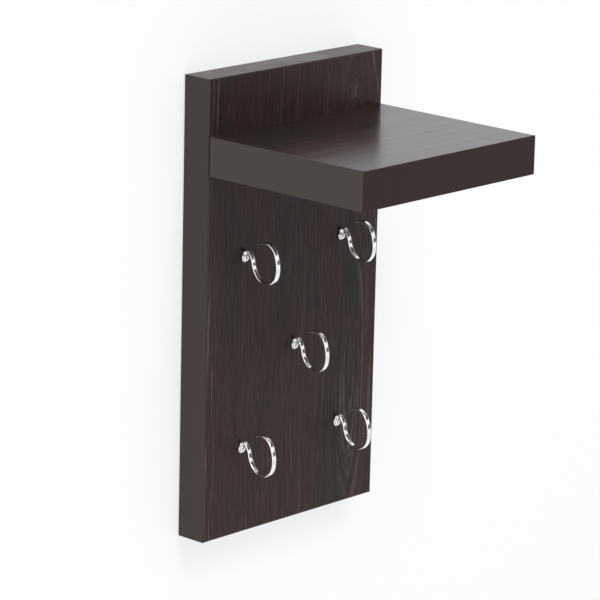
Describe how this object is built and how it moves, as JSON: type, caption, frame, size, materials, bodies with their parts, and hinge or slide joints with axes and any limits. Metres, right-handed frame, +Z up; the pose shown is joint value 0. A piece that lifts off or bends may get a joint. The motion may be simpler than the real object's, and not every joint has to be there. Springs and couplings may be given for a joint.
{
  "type": "wall key holder",
  "caption": "Upright wall board in dark wood decor with a shelf near its top and bright bent strip hooks for keys below it; hangs on keyhole plates let into its back.",
  "frame": {"origin": "middle of the face that lies on the wall", "axes": "+Z up the wall, +Y into the wall, so the shelf and hooks stand out along -Y; +X is to the right as seen from the room"},
  "size_m": [0.158, 0.152, 0.3],
  "materials": {
    "board_decor": "dark wood decor with upright grain, satin",
    "edge_band": "plain dark brown edge band, satin",
    "hook_chrome": "polished chrome",
    "hook_screw": "polished chrome",
    "panel_screw": "zinc plated",
    "hanger_plate": "zinc plated sheet",
    "hanger_screw": "zinc plated",
    "beech_dowel": "plain beech"
  },
  "bodies": {
    "root": {"back_panel": "board_decor", "shelf_panel": "board_decor", "back_band_left": "edge_band", "back_band_right": "edge_band", "back_band_top": "edge_band", "back_band_bottom": "edge_band", "shelf_band_left": "edge_band", "shelf_band_right": "edge_band", "shelf_band_front": "edge_band", "shelf_dowel_left": "beech_dowel", "shelf_screw_left": "panel_screw", "hanger_plate_left": "hanger_plate", "hanger_screw_left_lower": "hanger_screw", "hanger_screw_left_upper": "hanger_screw", "shelf_dowel_right": "beech_dowel", "shelf_screw_right": "panel_screw", "hanger_plate_right": "hanger_plate", "hanger_screw_right_lower": "hanger_screw", "hanger_screw_right_upper": "hanger_screw", "hook_upper_left": "hook_chrome", "hook_screw_upper_left": "hook_screw", "hook_upper_right": "hook_chrome", "hook_screw_upper_right": "hook_screw", "hook_middle": "hook_chrome", "hook_screw_middle": "hook_screw", "hook_lower_left": "hook_chrome", "hook_screw_lower_left": "hook_screw", "hook_lower_right": "hook_chrome", "hook_screw_lower_right": "hook_screw"}
  },
  "joints": []
}
